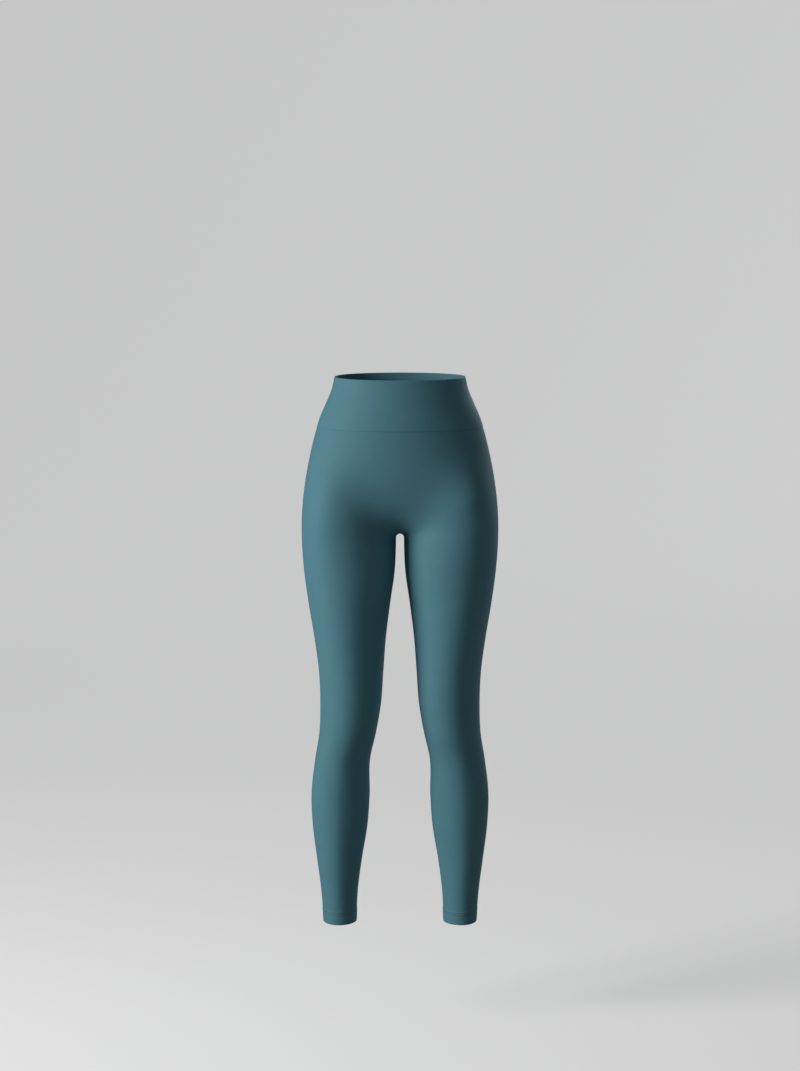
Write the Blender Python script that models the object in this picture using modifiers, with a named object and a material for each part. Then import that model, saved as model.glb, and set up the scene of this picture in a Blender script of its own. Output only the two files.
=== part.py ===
"""High-waisted leggings that end above the ankle, as the hollow form they keep when worn.

Lengths are in metres. +Z is up and the front faces -Y. The origin is the centre of the waist
opening, level with the folded top edge of the waistband. The shape is worked out for the half
at -X, the wearer's right, and mirrored. A drop is a distance below the top edge.
"""

import math
from typing import NamedTuple

import bpy
import numpy as np

# Main sizes
LENGTH = 0.975  # top edge to hem
BAND = 0.087  # height of the waistband
FORK = 0.2765  # drop of the point where the two inseams meet
HEM = 0.024  # height of the turned-up leg end

# Cloth
WALL = 0.0010  # one layer of the knit
LAYER_GAP = 0.0003  # air between the layers of the turned-up hem
BAND_WALL = 0.0022  # two layers of the waistband
BAND_PROUD = 0.0005  # how far the waistband stands out from the panels
SEAM = 0.0003  # gap between neighbouring pieces
WAIST_SEAM = 0.0005  # gap at the waist seam, where the two walls lean towards each other

# Where the body of the garment parts into legs, as drops at the side seam
FRONT_PARTS = 0.105  # the hollow between the thighs begins in front
BACK_PARTS = 0.115  # and behind
FORK_SIDE = 0.290  # the row of points that ends at the fork
LEGS_LEVEL = 0.400  # from here down the rows of points are level

# How full the ovals are at their corners: 2 is an ellipse, more is squarer
WAIST_SQUARE = 2.15
HIP_SQUARE = 2.50
HIP_DROP = 0.190  # where the body's oval has become as square as it gets
BELLY_ROUND = 2.00  # the turn of the cloth across the front of the body
LEG_SQUARE = 2.10  # the back of a leg

# How the front of the body turns into two thighs
THIGH_LEAD = 1.0  # how much sooner the outside of the thigh stands out
LEAD_FULL = 0.6  # share of the row at which that is complete

# Fineness of the faceted cloth
COLUMNS = 11  # facets from centre line or inseam to side seam, front or back
BODY_STEP = 0.026  # most height of a facet above the legs
LEG_STEP = 0.033  # most height of a facet on the legs
PARTING_ROWS = 10  # rows of facets between FRONT_PARTS and the fork
SETTLING_ROWS = 6  # rows of facets between the fork and LEGS_LEVEL
ARCH_ROW = 0.09  # first row below the fork, as a share of the settling
BAND_ROWS = 4
FOLD_STEPS = 3  # facets round the fold of the hem
OUTLINE = 97  # points of an outline before it is spread into columns

SHARP = math.radians(50)

COLLECTION = "leggings"


class Level(NamedTuple):
    """Half of the worn garment at one height, with its two sides alike."""

    drop: float  # below the top edge
    outer: float  # centre plane to side seam
    inner: float  # centre plane to inseam
    front: float  # foremost cloth, forward of the waist's centre
    back: float  # rearmost cloth, behind the waist's centre
    side: float  # side seam and inseam, behind the waist's centre
    crest: float  # foremost line of a leg, outward of its middle, as a share of half its width
    full: float  # how full the front of a leg is at its corners: 2 is an ellipse


LEVELS = [
    #     drop   outer   inner   front   back    side   crest full
    Level(0.000, 0.1140, 0.0070, 0.0880, 0.0880, 0.000, 0.22, 2.10),
    Level(0.020, 0.1183, 0.0070, 0.0915, 0.0880, 0.000, 0.22, 2.10),
    Level(0.045, 0.1283, 0.0070, 0.0965, 0.0905, 0.001, 0.22, 2.10),
    Level(0.070, 0.1392, 0.0070, 0.1005, 0.0970, 0.002, 0.22, 2.10),
    Level(0.100, 0.1485, 0.0070, 0.1035, 0.1075, 0.003, 0.22, 2.10),
    Level(0.140, 0.1582, 0.0070, 0.1055, 0.1200, 0.004, 0.22, 2.10),
    Level(0.190, 0.1672, 0.0070, 0.1055, 0.1295, 0.005, 0.22, 2.10),
    Level(0.240, 0.1722, 0.0070, 0.1040, 0.1265, 0.005, 0.22, 2.10),
    Level(0.290, 0.1725, 0.0070, 0.1015, 0.1135, 0.003, 0.17, 2.10),
    Level(0.340, 0.1690, 0.0090, 0.0990, 0.0985, 0.001, 0.12, 2.08),
    Level(0.400, 0.1610, 0.0172, 0.0955, 0.0855, -0.001, 0.08, 2.05),
    Level(0.460, 0.1512, 0.0247, 0.0900, 0.0750, -0.003, 0.04, 2.03),
    Level(0.520, 0.1434, 0.0292, 0.0830, 0.0630, -0.005, 0.02, 2.02),
    Level(0.580, 0.1410, 0.0337, 0.0765, 0.0520, -0.006, 0.00, 2.02),
    Level(0.630, 0.1428, 0.0422, 0.0695, 0.0460, -0.005, 0.00, 1.98),
    Level(0.680, 0.1506, 0.0530, 0.0575, 0.0530, -0.002, 0.03, 1.88),
    Level(0.745, 0.1576, 0.0539, 0.0490, 0.0675, 0.002, 0.06, 1.80),
    Level(0.800, 0.1556, 0.0578, 0.0450, 0.0650, 0.003, 0.07, 1.78),
    Level(0.860, 0.1484, 0.0676, 0.0405, 0.0520, 0.002, 0.07, 1.82),
    Level(0.920, 0.1408, 0.0753, 0.0375, 0.0415, 0.001, 0.06, 1.92),
    Level(0.980, 0.1366, 0.0778, 0.0370, 0.0385, 0.001, 0.05, 2.00),
]


class Row(NamedTuple):
    """One row of points round half of the garment."""

    side: float  # drop at the side seam
    front_end: float  # drop at the centre front, or at the inseam
    back_end: float  # drop at the centre back, or at the inseam
    front_turn: float  # 0 for the whole body, 1 for one leg
    back_turn: float
    above_fork: bool  # whether the row ends on the centre plane


FRONT = -1
BACK = 1
RIGHT = -1  # the wearer's right, at -X
LEFT = 1


def smooth_step(share):
    """Ease from 0 to 1 with no kink at either end."""
    share = np.clip(share, 0.0, 1.0)
    return share * share * (3 - 2 * share)


def level_at(drop):
    """Sizes at any height, from a smooth curve through each column of LEVELS."""
    table = np.array(LEVELS)
    drops = table[:, 0]
    slopes = np.gradient(table, drops, axis=0)
    low = int(np.clip(np.searchsorted(drops, drop) - 1, 0, len(drops) - 2))
    span = drops[low + 1] - drops[low]
    t = (drop - drops[low]) / span
    rise = smooth_step(t)
    leave = t * (1 - t) ** 2 * span
    arrive = t**2 * (t - 1) * span
    values = table[low] * (1 - rise) + table[low + 1] * rise
    return Level(*(values + slopes[low] * leave + slopes[low + 1] * arrive))


def body_square(drop):
    """How square the body's oval is at a height."""
    return WAIST_SQUARE + (HIP_SQUARE - WAIST_SQUARE) * smooth_step(drop / HIP_DROP)


def spread(outline, shares):
    """Points at the given shares of an outline's length."""
    steps = np.linalg.norm(np.diff(outline, axis=0), axis=1)
    run = np.concatenate([[0.0], np.cumsum(steps)])
    places = np.asarray(shares) * run[-1]
    return np.column_stack([np.interp(places, run, axis) for axis in outline.T])


def half_outline(level, turn, way, arch=0.0):
    """Plan outline of one half, front or back, from the centre plane or inseam to the side seam.

    The body is a quarter of one oval about the centre plane. A leg is half of an oval of its own.
    Between them the cloth bridges the hollow between the two leg ovals: each leg's outline
    starts part of the way round it, and is drawn to meet the centre plane square.
    """
    reach = level.side + level.front if way == FRONT else level.back - level.side
    even = np.linspace(0, 1, OUTLINE)
    corner = even * math.pi / 2
    square = body_square(level.drop)
    round_across = BELLY_ROUND if way == FRONT else square
    body_x = level.outer * np.sin(corner) ** (2 / round_across)
    body_y = reach * np.cos(corner) ** (2 / square)
    centre = (level.outer + level.inner) / 2
    half_width = (level.outer - level.inner) / 2
    start = (1 - turn) * math.pi / 2
    angle = start + even * (math.pi - start)
    across = np.cos(angle)
    power = 2 / (level.full if way == FRONT else LEG_SQUARE)
    aside = -np.sign(across) * np.abs(across) ** power
    if way == FRONT:
        aside = aside + level.crest * (1 - aside**2)
    leg_x = centre + half_width * aside
    leg_y = reach * np.abs(np.sin(angle)) ** power
    bridge = leg_x[0] * max(1 - arch, 0.0)
    stretch = level.outer / math.sqrt(level.outer**2 - bridge**2)
    leg_x = np.sqrt(np.maximum(leg_x**2 - bridge**2, 0)) * stretch
    body = spread(np.column_stack([body_x, body_y]), even)
    leg = spread(np.column_stack([leg_x, leg_y]), even)
    lead = THIGH_LEAD if way == FRONT else 0.0
    legs_share = smooth_step(turn * (1 + lead * smooth_step(even / LEAD_FULL)))[:, None]
    outline = body * (1 - legs_share) + leg * legs_share
    return np.column_stack([-outline[:, 0], level.side + way * outline[:, 1]])


def half_line(row, way, out=0.0):
    """Points in space of one row, front or back, from centre or inseam to the side seam.

    The row sinks or rises smoothly from its side seam to its other end.
    """
    end = row.front_end if way == FRONT else row.back_end
    turn = row.front_turn if way == FRONT else row.back_turn
    middle = level_at((row.side + end) / 2)
    inner = level_at(max(end, FORK)).inner
    level = level_at(row.side)._replace(front=middle.front, back=middle.back, inner=inner)
    arch = 0.0 if row.above_fork else (end - FORK) / level.inner
    plan = half_outline(level, turn, way, arch)
    if out:
        plan = plan + out * outward(plan, way, row.above_fork)
    shares = np.linspace(0, 1, OUTLINE)
    plan = spread(plan, shares)
    tilt = np.cos(shares * math.pi / 2) ** 2
    drop = row.side + (end - row.side) * tilt
    return np.column_stack([plan, -drop])


def outward(plan, way, square_start):
    """Unit directions out of the garment along a plan outline, level with the ground."""
    along = np.gradient(plan, axis=0)
    normal = way * np.column_stack([along[:, 1], -along[:, 0]])
    normal /= np.linalg.norm(normal, axis=1)[:, None]
    if square_start:
        normal[0] = (0, way)
    normal[-1] = (-1, 0)
    return normal


def turn_at(side, start):
    """How far the body has parted into legs, 0 to 1, at a drop of the side seam."""
    return min(max((side - start) / (FORK_SIDE - start), 0.0), 1.0)


def body_row(side):
    """A row above the fork. Its ends follow the rounded line that leads to the fork."""
    turns = [turn_at(side, FRONT_PARTS), turn_at(side, BACK_PARTS)]
    ends = []
    for turn, start in zip(turns, (FRONT_PARTS, BACK_PARTS)):
        sunk = start + (FORK - start) * math.sin(turn * math.pi / 2)
        ends.append(sunk if turn else side)
    return Row(side, ends[0], ends[1], turns[0], turns[1], True)


def leg_row(side):
    """A row below the fork. The rows level out by LEGS_LEVEL."""
    settled = min((side - FORK_SIDE) / (LEGS_LEVEL - FORK_SIDE), 1.0)
    end = FORK + (LEGS_LEVEL - FORK) * settled**2 if settled < 1 else side
    return Row(side, end, end, 1.0, 1.0, False)


def steps(start, end, most):
    """Even steps from start to end, with none longer than most."""
    return list(np.linspace(start, end, math.ceil((end - start) / most) + 1))


def panel_rows():
    """Rows from the waist seam to the start of the hem's fold."""
    body = steps(BAND + WAIST_SEAM / 2, FRONT_PARTS, BODY_STEP)
    parting = list(np.linspace(FRONT_PARTS, FORK_SIDE, PARTING_ROWS + 1))[1:]
    shares = [ARCH_ROW] + list(np.linspace(0, 1, SETTLING_ROWS + 1))[1:]
    settling = [FORK_SIDE + (LEGS_LEVEL - FORK_SIDE) * share for share in shares]
    fold_top = LENGTH - fold_radius()
    legs = steps(LEGS_LEVEL, LENGTH - HEM, LEG_STEP)[1:] + [fold_top]
    above = [body_row(side) for side in body + parting]
    return above + [leg_row(side) for side in settling + legs]


def fold_radius():
    """Radius of the outer face of the cloth round the edge of the hem."""
    return WALL + LAYER_GAP / 2


def column_shares():
    """Where the columns lie between the two ends. The facet at each end is half as wide."""
    return (np.arange(COLUMNS) + 0.5) / COLUMNS


def towards(point, goal, distance):
    """A point moved towards another by a distance."""
    way = goal - point
    return point + way * distance / np.linalg.norm(way)


def piece_line(row, way, out=0.0):
    """One row of a piece, with half a seam's gap left at its side seam and at its other end.

    On a leg the seam lies in the middle of a facet, so that the facets on both sides of it
    are in line and their walls don't meet.
    """
    own = spread(half_line(row, way, out), column_shares())
    other = spread(half_line(row, -way, out), column_shares())
    side = (own[-1] + other[-1]) / 2
    if row.above_fork:
        start = half_line(row, way, out)[0]
    else:
        start = (own[0] + other[0]) / 2
    side = towards(side, own[-1], SEAM / 2)
    return start, own, side


def panel_lines(rows, way, out=0.0):
    """Grid of points of a piece, one line for each row, from centre or inseam to side seam.

    The front has no seam down its centre, so above the fork it runs on to the centre plane.
    """
    lines = []
    for row in rows:
        start, own, side = piece_line(row, way, out)
        on_fold = way == FRONT and row.above_fork and row.side < FORK_SIDE
        if not on_fold:
            start = towards(start, own[0], SEAM / 2)
        if row.above_fork:
            start[0] = 0.0
        lines.append(np.vstack([start, own, side]))
    return lines


def hem_lines(way):
    """The turned-up leg end: round its fold and up inside the leg."""
    radius = fold_radius()
    bends = [math.pi * step / FOLD_STEPS for step in range(1, FOLD_STEPS + 1)]
    places = [
        (LENGTH - radius + radius * math.sin(bend), radius * (1 - math.cos(bend)))
        for bend in bends
    ]
    places.append((LENGTH - HEM, 2 * radius))
    lines = []
    for drop, inwards in places:
        lines += panel_lines([leg_row(drop)], way, -inwards)
    return lines


def clear_centre(lines):
    """Keep a piece half a seam's gap away from the centre plane."""
    for line in lines:
        line[:, 0] = np.minimum(line[:, 0], -SEAM / 2)
    return lines


def knit(name, colour, roughness):
    """Material of one piece."""
    material = bpy.data.materials.new(name)
    material.use_nodes = True
    shader = material.node_tree.nodes["Principled BSDF"]
    shader.inputs["Base Color"].default_value = (*colour, 1.0)
    shader.inputs["Roughness"].default_value = roughness
    shader.inputs["Metallic"].default_value = 0.0
    return material


def sheet(name, lines, way, hand=RIGHT):
    """Open sheet through rows of points, with its right side out."""
    points = np.array(lines)
    if hand == LEFT:
        points[:, :, 0] *= -1
    count, across = points.shape[:2]
    faces = []
    for row in range(count - 1):
        for column in range(across - 1):
            first = row * across + column
            face = (first, first + 1, first + 1 + across, first + across)
            faces.append(face if way * hand == FRONT * RIGHT else face[::-1])
    mesh = bpy.data.meshes.new(name)
    mesh.from_pydata(points.reshape(-1, 3).tolist(), [], faces)
    mesh.shade_smooth()
    return bpy.data.objects.new(name, mesh)


def add_piece(piece, material, wall, both_sides):
    """Put a sheet in the garment's collection and give it its other half and its wall."""
    bpy.data.collections[COLLECTION].objects.link(piece)
    piece.data.materials.append(material)
    piece.data.set_sharp_from_angle(angle=SHARP)
    if both_sides:
        mirror = piece.modifiers.new("other half", "MIRROR")
        mirror.use_clip = True
        mirror.merge_threshold = 0.00001
    thickness = piece.modifiers.new("cloth", "SOLIDIFY")
    thickness.thickness = wall
    thickness.offset = -1.0
    return piece


def waistband():
    """Front and back halves of the waistband, cut double."""
    rows = [body_row(side) for side in np.linspace(0, BAND - WAIST_SEAM / 2, BAND_ROWS + 1)]
    colours = {"waistband_front": (0.095, 0.225, 0.270), "waistband_back": (0.090, 0.215, 0.260)}
    for (name, colour), way in zip(colours.items(), (FRONT, BACK)):
        piece = sheet(name, panel_lines(rows, way, BAND_PROUD), way)
        add_piece(piece, knit(name + "_knit", colour, 0.60), BAND_WALL, True)


def front_panel():
    """The front of both legs, in one piece."""
    lines = panel_lines(panel_rows(), FRONT) + hem_lines(FRONT)
    piece = sheet("front_panel", lines, FRONT)
    add_piece(piece, knit("front_knit", (0.100, 0.235, 0.280), 0.62), WALL, True)


def back_panel(name, hand):
    """The back of one leg, up to the centre-back seam."""
    lines = clear_centre(panel_lines(panel_rows(), BACK) + hem_lines(BACK))
    piece = sheet(name, lines, BACK, hand)
    add_piece(piece, knit(name + "_knit", (0.085, 0.205, 0.245), 0.62), WALL, False)


def clear_scene():
    """Remove whatever the scene holds."""
    for item in list(bpy.data.objects):
        bpy.data.objects.remove(item, do_unlink=True)


def main():
    clear_scene()
    garment = bpy.data.collections.new(COLLECTION)
    bpy.context.scene.collection.children.link(garment)
    waistband()
    front_panel()
    back_panel("back_right", RIGHT)
    back_panel("back_left", LEFT)


main()
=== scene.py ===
"""High-waisted leggings in their hollow worn form: knit panels, double waistband, hems, seams.

Lengths are in metres. +Z is up, the front faces -Y, and the origin is the centre of the waist
opening, level with the folded top edge of the waistband. A drop is a distance below that edge.
The form is worked out for the half at -X, the wearer's right, and mirrored.
"""

from __future__ import annotations

import logging
import math
from dataclasses import dataclass, field, fields
from enum import Enum
from typing import Callable, NamedTuple, Sequence

import bmesh
import bpy
import numpy as np
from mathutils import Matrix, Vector
from mathutils.kdtree import KDTree

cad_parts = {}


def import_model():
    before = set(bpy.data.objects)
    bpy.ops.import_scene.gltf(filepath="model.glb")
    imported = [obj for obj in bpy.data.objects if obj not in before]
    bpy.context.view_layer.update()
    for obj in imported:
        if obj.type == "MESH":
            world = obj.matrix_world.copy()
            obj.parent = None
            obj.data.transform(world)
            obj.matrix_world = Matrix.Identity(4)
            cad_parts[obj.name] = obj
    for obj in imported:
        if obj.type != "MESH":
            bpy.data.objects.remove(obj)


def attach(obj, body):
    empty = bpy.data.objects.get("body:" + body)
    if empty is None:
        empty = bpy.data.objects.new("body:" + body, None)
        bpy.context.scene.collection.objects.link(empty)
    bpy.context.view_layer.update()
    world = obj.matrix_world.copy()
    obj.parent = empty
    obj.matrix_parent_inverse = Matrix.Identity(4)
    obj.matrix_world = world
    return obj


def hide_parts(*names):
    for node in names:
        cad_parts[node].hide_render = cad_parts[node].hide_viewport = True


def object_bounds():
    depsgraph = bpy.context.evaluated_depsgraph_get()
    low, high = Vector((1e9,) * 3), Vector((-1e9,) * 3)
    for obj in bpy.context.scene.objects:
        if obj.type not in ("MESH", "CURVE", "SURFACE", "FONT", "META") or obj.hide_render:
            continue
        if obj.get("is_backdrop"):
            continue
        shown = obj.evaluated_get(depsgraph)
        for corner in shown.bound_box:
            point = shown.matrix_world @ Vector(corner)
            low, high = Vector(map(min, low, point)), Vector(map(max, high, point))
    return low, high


LOG = logging.getLogger("leggings")

BODY = "root"
BODY_SLOT = "body_knit"
BAND_SLOT = "waistband_knit"

Colour = tuple[float, float, float]
Point = tuple[float, float, float]


class Way(Enum):
    """Which way a half of the garment faces. The value is the sign of its Y."""

    FRONT = -1
    BACK = 1


class Hand(Enum):
    """A side of the wearer. The value is the sign of its X."""

    RIGHT = -1
    LEFT = 1


class Loops(Enum):
    """How the loops of the jersey show."""

    FACE = "columns of V-shaped loops, on the right side"
    REVERSE = "rows of loop heads, on the wrong side"


# ---- The worn form --------------------------------------------------------------------------


class Level(NamedTuple):
    """Half of the worn garment at one height, with its two sides alike."""

    drop: float  # below the top edge
    outer: float  # centre plane to side seam
    inner: float  # centre plane to inseam
    front: float  # foremost cloth, forward of the waist's centre
    back: float  # rearmost cloth, behind the waist's centre
    side: float  # side seam and inseam, behind the waist's centre
    crest: float  # foremost line of a leg, outward of its middle, as a share of half its width
    full: float  # how full the front of a leg is at its corners: 2 is an ellipse


LEVELS = (
    #     drop   outer   inner   front   back    side   crest full
    Level(0.000, 0.1140, 0.0070, 0.0880, 0.0880, 0.000, 0.22, 2.10),
    Level(0.020, 0.1183, 0.0070, 0.0915, 0.0880, 0.000, 0.22, 2.10),
    Level(0.045, 0.1283, 0.0070, 0.0965, 0.0905, 0.001, 0.22, 2.10),
    Level(0.070, 0.1392, 0.0070, 0.1005, 0.0970, 0.002, 0.22, 2.10),
    Level(0.100, 0.1485, 0.0070, 0.1035, 0.1075, 0.003, 0.22, 2.10),
    Level(0.140, 0.1582, 0.0070, 0.1055, 0.1200, 0.004, 0.22, 2.10),
    Level(0.190, 0.1672, 0.0070, 0.1055, 0.1295, 0.005, 0.22, 2.10),
    Level(0.240, 0.1722, 0.0070, 0.1040, 0.1265, 0.005, 0.22, 2.10),
    Level(0.290, 0.1725, 0.0070, 0.1015, 0.1135, 0.003, 0.17, 2.10),
    Level(0.340, 0.1690, 0.0090, 0.0990, 0.0985, 0.001, 0.12, 2.08),
    Level(0.400, 0.1610, 0.0172, 0.0955, 0.0855, -0.001, 0.08, 2.05),
    Level(0.460, 0.1512, 0.0247, 0.0900, 0.0750, -0.003, 0.04, 2.03),
    Level(0.520, 0.1434, 0.0292, 0.0830, 0.0630, -0.005, 0.02, 2.02),
    Level(0.580, 0.1410, 0.0337, 0.0765, 0.0520, -0.006, 0.00, 2.02),
    Level(0.630, 0.1428, 0.0422, 0.0695, 0.0460, -0.005, 0.00, 1.98),
    Level(0.680, 0.1506, 0.0530, 0.0575, 0.0530, -0.002, 0.03, 1.88),
    Level(0.745, 0.1576, 0.0539, 0.0490, 0.0675, 0.002, 0.06, 1.80),
    Level(0.800, 0.1556, 0.0578, 0.0450, 0.0650, 0.003, 0.07, 1.78),
    Level(0.860, 0.1484, 0.0676, 0.0405, 0.0520, 0.002, 0.07, 1.82),
    Level(0.920, 0.1408, 0.0753, 0.0375, 0.0415, 0.001, 0.06, 1.92),
    Level(0.980, 0.1366, 0.0778, 0.0370, 0.0385, 0.001, 0.05, 2.00),
)


class Row(NamedTuple):
    """One row of points round half of the garment."""

    side: float  # drop at the side seam
    front_end: float  # drop at the centre front, or at the inseam
    back_end: float  # drop at the centre back, or at the inseam
    front_turn: float  # 0 for the whole body, 1 for one leg
    back_turn: float
    above_fork: bool  # whether the row ends on the centre plane


def smooth_step(share: float | np.ndarray) -> float | np.ndarray:
    """Ease from 0 to 1 with no kink at either end, for a share clipped to 0 and 1."""
    share = np.clip(share, 0.0, 1.0)
    return share * share * (3 - 2 * share)


def spread(outline: np.ndarray, shares: np.ndarray) -> np.ndarray:
    """Points at the given shares of an outline's length.

    Args:
        outline: points of the outline, one a row.
        shares: places from 0 to 1.

    Returns:
        One point for each share.
    """
    steps = np.linalg.norm(np.diff(outline, axis=0), axis=1)
    run = np.concatenate([[0.0], np.cumsum(steps)])
    places = np.asarray(shares) * run[-1]
    return np.column_stack([np.interp(places, run, axis) for axis in outline.T])


def length_of(line: np.ndarray) -> float:
    """Length of a polyline."""
    return float(np.linalg.norm(np.diff(line, axis=0), axis=1).sum())


def mirrored(points: np.ndarray) -> np.ndarray:
    """The same points or directions on the other side of the centre plane."""
    return points * np.array([-1.0, 1.0, 1.0])


@dataclass(frozen=True)
class WornForm:
    """The smooth outer surface that the cloth takes when it is worn."""

    levels: tuple[Level, ...] = LEVELS
    length: float = 0.975  # top edge to hem
    band: float = 0.087  # height of the waistband
    fork: float = 0.2765  # drop of the point where the two inseams meet
    front_parts: float = 0.105  # the hollow between the thighs begins in front
    back_parts: float = 0.115  # and behind
    fork_side: float = 0.290  # the row of points that ends at the fork
    legs_level: float = 0.400  # from here down the rows of points are level
    waist_square: float = 2.15  # how full the body's oval is at the waist: 2 is an ellipse
    hip_square: float = 2.50  # and at the hips
    hip_drop: float = 0.190  # where the oval has become as square as it gets
    belly_round: float = 2.00  # how full it is from side to side in front
    leg_square: float = 2.10  # how full the back of a leg is
    thigh_lead: float = 1.0  # how much sooner the outside of the thigh stands out in front
    lead_full: float = 0.6  # share of the row at which that is complete
    outline: int = 241  # points of an outline before it is spread into columns

    def level_at(self, drop: float) -> Level:
        """Sizes at any height, from a smooth curve through each column of the levels.

        Args:
            drop: distance below the top edge.

        Returns:
            The sizes there.
        """
        table = np.array(self.levels)
        drops = table[:, 0]
        slopes = np.gradient(table, drops, axis=0)
        low = int(np.clip(np.searchsorted(drops, drop) - 1, 0, len(drops) - 2))
        span = drops[low + 1] - drops[low]
        t = (drop - drops[low]) / span
        rise = smooth_step(t)
        leave = t * (1 - t) ** 2 * span
        arrive = t**2 * (t - 1) * span
        values = table[low] * (1 - rise) + table[low + 1] * rise
        return Level(*(values + slopes[low] * leave + slopes[low + 1] * arrive))

    def body_square(self, drop: float) -> float:
        """How square the body's oval is at a height."""
        settled = smooth_step(drop / self.hip_drop)
        return self.waist_square + (self.hip_square - self.waist_square) * settled

    def row(self, side: float) -> Row:
        """The row of points at a drop of the side seam.

        Args:
            side: drop at the side seam.

        Returns:
            A row whose ends follow the rounded line to the fork, or the inseam below it.
        """
        if side >= self.fork_side:
            settled = min((side - self.fork_side) / (self.legs_level - self.fork_side), 1.0)
            inseam = self.fork + (self.legs_level - self.fork) * settled**2
            end = inseam if settled < 1 else side
            return Row(side, end, end, 1.0, 1.0, False)
        turns = []
        ends = []
        for start in (self.front_parts, self.back_parts):
            turn = min(max((side - start) / (self.fork_side - start), 0.0), 1.0)
            sunk = start + (self.fork - start) * math.sin(turn * math.pi / 2)
            turns.append(turn)
            ends.append(sunk if turn else side)
        return Row(side, *ends, *turns, True)

    def half_outline(self, level: Level, turn: float, way: Way, arch: float) -> np.ndarray:
        """Plan outline of one half, from the centre plane or inseam to the side seam.

        The body is a quarter of one oval about the centre plane. A leg is half of an oval of
        its own. Between them the cloth bridges the hollow between the two leg ovals: each
        leg's outline starts part of the way round it, and meets the centre plane square.

        Args:
            level: sizes at this height.
            turn: 0 for the whole body, 1 for one leg.
            way: front or back.
            arch: how far the rounded fork has opened into the gap between the legs.

        Returns:
            Points in plan, one a row.
        """
        front = way is Way.FRONT
        reach = level.side + level.front if front else level.back - level.side
        even = np.linspace(0, 1, self.outline)
        corner = even * math.pi / 2
        square = self.body_square(level.drop)
        body_x = level.outer * np.sin(corner) ** (2 / (self.belly_round if front else square))
        body_y = reach * np.cos(corner) ** (2 / square)
        centre = (level.outer + level.inner) / 2
        half_width = (level.outer - level.inner) / 2
        start = (1 - turn) * math.pi / 2
        angle = start + even * (math.pi - start)
        across = np.cos(angle)
        power = 2 / (level.full if front else self.leg_square)
        aside = -np.sign(across) * np.abs(across) ** power
        if front:
            aside = aside + level.crest * (1 - aside**2)
        leg_x = centre + half_width * aside
        leg_y = reach * np.abs(np.sin(angle)) ** power
        bridge = leg_x[0] * max(1 - arch, 0.0)
        stretch = level.outer / math.sqrt(level.outer**2 - bridge**2)
        leg_x = np.sqrt(np.maximum(leg_x**2 - bridge**2, 0)) * stretch
        body = spread(np.column_stack([body_x, body_y]), even)
        leg = spread(np.column_stack([leg_x, leg_y]), even)
        lead = self.thigh_lead if front else 0.0
        legs_share = smooth_step(turn * (1 + lead * smooth_step(even / self.lead_full)))[:, None]
        outline = body * (1 - legs_share) + leg * legs_share
        return np.column_stack([-outline[:, 0], level.side + way.value * outline[:, 1]])

    def outward(self, plan: np.ndarray, way: Way, square_start: bool) -> np.ndarray:
        """Unit directions out of the garment along a plan outline, level with the ground.

        Args:
            plan: points in plan, from centre or inseam to side seam.
            way: front or back.
            square_start: whether the outline starts on the centre plane.

        Returns:
            One direction a point.
        """
        along = np.gradient(plan, axis=0)
        normal = way.value * np.column_stack([along[:, 1], -along[:, 0]])
        normal /= np.linalg.norm(normal, axis=1)[:, None]
        if square_start:
            normal[0] = (0, way.value)
        normal[-1] = (-1, 0)
        return normal

    def half_line(self, row: Row, way: Way, out: float = 0.0) -> np.ndarray:
        """Points in space of one row, from centre or inseam to the side seam.

        Args:
            row: the row.
            way: front or back.
            out: how far the points lie outside the form.

        Returns:
            Evenly spread points. The row sinks smoothly from its side seam to its other end.
        """
        end = row.front_end if way is Way.FRONT else row.back_end
        turn = row.front_turn if way is Way.FRONT else row.back_turn
        middle = self.level_at((row.side + end) / 2)
        inner = self.level_at(max(end, self.fork)).inner
        level = self.level_at(row.side)
        level = level._replace(front=middle.front, back=middle.back, inner=inner)
        arch = 0.0 if row.above_fork else (end - self.fork) / level.inner
        plan = self.half_outline(level, turn, way, arch)
        if out:
            plan = plan + out * self.outward(plan, way, row.above_fork)
        shares = np.linspace(0, 1, self.outline)
        plan = spread(plan, shares)
        tilt = np.cos(shares * math.pi / 2) ** 2
        drop = row.side + (end - row.side) * tilt
        return np.column_stack([plan, -drop])


# ---- Seams, creases and stretch -------------------------------------------------------------


class SeamLine(NamedTuple):
    """A line on the cloth that stitches follow."""

    points: np.ndarray
    outward: np.ndarray  # unit directions away from the cloth's right side
    closed: bool

    def other_side(self) -> SeamLine:
        """The same line on the wearer's left."""
        return SeamLine(mirrored(self.points), mirrored(self.outward), self.closed)


def line_normals(points: np.ndarray, axis: Point) -> np.ndarray:
    """Directions square to a line and to an axis.

    Args:
        points: the line.
        axis: a direction in the cloth, square to the line.

    Returns:
        One unit direction a point.
    """
    along = np.gradient(points, axis=0)
    normal = np.cross(np.array(axis, float), along)
    return normal / np.linalg.norm(normal, axis=1)[:, None]


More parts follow.
